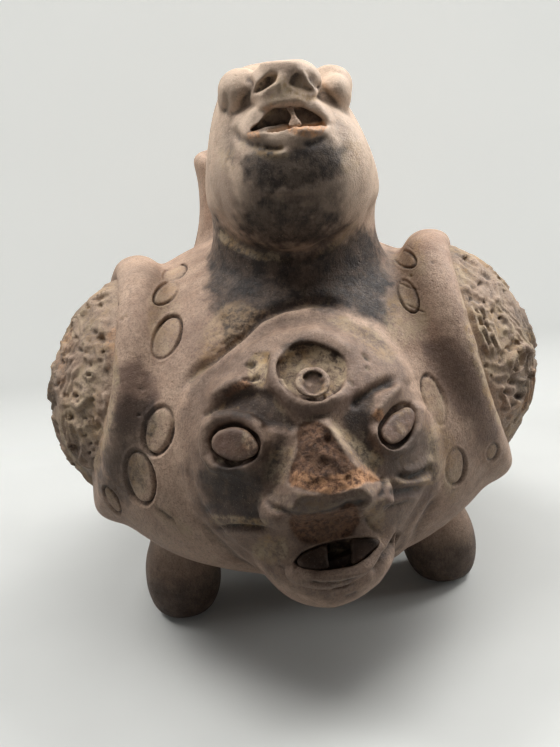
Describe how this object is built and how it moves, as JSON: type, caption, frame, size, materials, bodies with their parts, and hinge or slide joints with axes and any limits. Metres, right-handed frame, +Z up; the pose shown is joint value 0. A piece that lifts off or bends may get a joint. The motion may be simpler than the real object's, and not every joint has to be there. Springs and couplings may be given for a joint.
{
  "type": "effigy jar",
  "caption": "Hollow clay effigy jar on bulb feet, with a broad face in front, a domed relief medallion on each side, a neck with a looking head and a spout behind.",
  "frame": {"origin": "on the ground below the middle of the round body, between the three feet", "axes": "+Z up through the body, the broad face looks along -Y, +X is on the viewer's right"},
  "size_m": [0.1975, 0.1992, 0.2155],
  "materials": {
    "shoulder_clay": "unglazed, hand-smoothed",
    "smoked_clay": "unglazed, hand-smoothed",
    "head_clay": "unglazed, hand-smoothed",
    "face_clay": "unglazed, hand-smoothed",
    "pellet_clay": "unglazed, hand-smoothed",
    "broken_clay": "unglazed, hand-smoothed",
    "sooty_clay": "unglazed, hand-smoothed",
    "dusty_relief": "unglazed, hand-smoothed"
  },
  "bodies": {
    "root": {"body_lower_bowl": "shoulder_clay", "body_upper_bowl": "shoulder_clay", "left_collar": "shoulder_clay", "right_collar": "shoulder_clay", "spout": "shoulder_clay", "spout_lip": "shoulder_clay", "neck": "smoked_clay", "front_left_foot": "smoked_clay", "front_right_foot": "smoked_clay", "rear_foot": "smoked_clay", "head_shell": "head_clay", "head_snout": "head_clay", "head_upper_lip": "head_clay", "head_left_eye": "head_clay", "head_right_eye": "head_clay", "mask_plate": "face_clay", "mask_forehead_ring": "face_clay", "mask_left_eye_ring": "face_clay", "mask_right_eye_ring": "face_clay", "mask_left_brow": "face_clay", "mask_right_brow": "face_clay", "mask_left_cheek_folds": "face_clay", "mask_right_cheek_folds": "face_clay", "mask_upper_lip": "face_clay", "mask_lower_lip": "face_clay", "mask_left_eye_pellet": "pellet_clay", "mask_right_eye_pellet": "pellet_clay", "mask_forehead_boss": "pellet_clay", "mask_nose": "broken_clay", "head_lower_lip": "broken_clay", "head_mouth_bridge": "broken_clay", "mask_left_tooth": "sooty_clay", "mask_right_tooth": "sooty_clay", "left_medallion": "dusty_relief", "right_medallion": "dusty_relief"}
  },
  "joints": []
}
